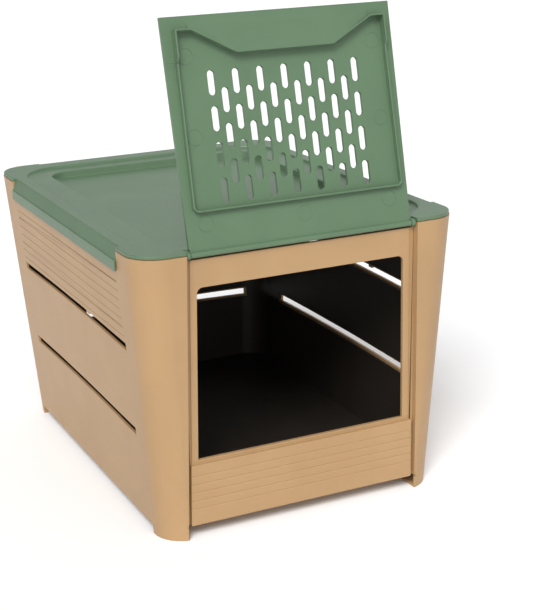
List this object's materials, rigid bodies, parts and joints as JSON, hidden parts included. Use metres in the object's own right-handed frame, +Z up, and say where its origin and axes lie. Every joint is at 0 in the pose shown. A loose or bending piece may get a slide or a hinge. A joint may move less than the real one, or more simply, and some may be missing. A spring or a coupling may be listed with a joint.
{
  "type": "vegetable storage bin",
  "caption": "Ventilated storage crate with a tray lid and a slotted front flap that swings up from the lid.",
  "frame": {"origin": "on the ground under the feet, midway between the side walls and midway between the front and back posts at the top", "axes": "+Z up, -Y towards the front with the window and the flap, +X to the right seen from the front"},
  "size_m": [0.2268, 0.301, 0.3257],
  "materials": {
    "crate": "satin moulded",
    "dark_liner": "matte moulded",
    "tray_lid": "satin moulded",
    "front_door": "satin moulded"
  },
  "bodies": {
    "bin": {"crate": "crate", "dark_liner": "dark_liner"},
    "lid": {"tray_lid": "tray_lid"},
    "door": {"front_door": "front_door"}
  },
  "joints": [
    {"name": "lid_lift", "type": "slide", "parent": "bin", "child": "lid", "axis": [0, 0, 1], "range_m": [0, 0.16]},
    {"name": "door_hinge", "type": "hinge", "parent": "lid", "child": "door", "pos_m": [0, -0.1463, 0.1885], "axis": [1, 0, 0], "range_deg": [0, 194.1]}
  ]
}
